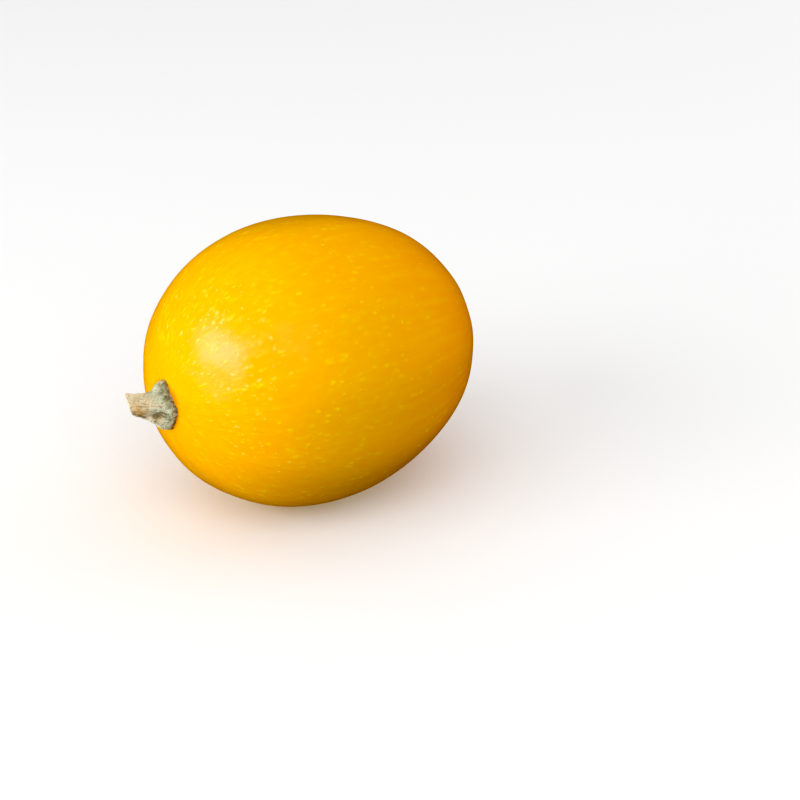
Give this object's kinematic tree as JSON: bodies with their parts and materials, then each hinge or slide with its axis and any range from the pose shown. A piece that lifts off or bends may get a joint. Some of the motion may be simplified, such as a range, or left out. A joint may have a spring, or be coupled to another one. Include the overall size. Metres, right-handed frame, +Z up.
{
  "type": "round summer squash",
  "caption": "Whole round to slightly oval yellow squash with low ribs, pale flecks on a satin skin and a short dry ridged stem, lying on its side as picked.",
  "frame": {"origin": "middle of the flat spot that the fruit lies on, under its widest section", "axes": "+Z up, +X along the fruit's long axis from the stem end to the blossom end, +Y by the right-hand rule"},
  "size_m": [0.1891, 0.1394, 0.1385],
  "materials": {
    "skin": "satin",
    "cork": "matte"
  },
  "bodies": {
    "root": {"fruit": "skin", "stem": "cork"}
  },
  "joints": []
}
